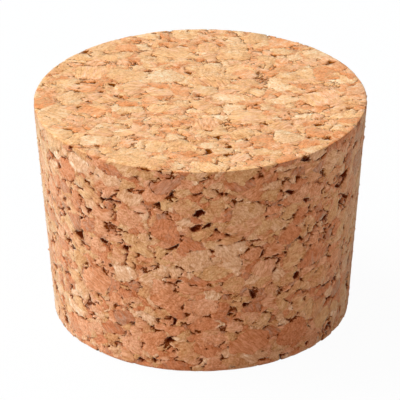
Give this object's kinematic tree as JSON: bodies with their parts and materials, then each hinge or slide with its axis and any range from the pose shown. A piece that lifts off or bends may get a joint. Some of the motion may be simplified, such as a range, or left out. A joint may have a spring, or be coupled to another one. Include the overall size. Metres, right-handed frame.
{
  "type": "cork stopper",
  "caption": "Tapered round stopper of agglomerated cork that plugs the neck of a demijohn, jar or flask.",
  "frame": {"origin": "centre of the flat small end, on which the stopper stands", "axes": "+Z along the stopper's axis, from the small end up to the large end; X and Y lie in the small end's face, and the round shape gives them no preferred direction"},
  "size_m": [0.058, 0.058, 0.04],
  "materials": {
    "cork": "matte sanded cork granules"
  },
  "bodies": {
    "root": {"stopper": "cork"}
  },
  "joints": []
}
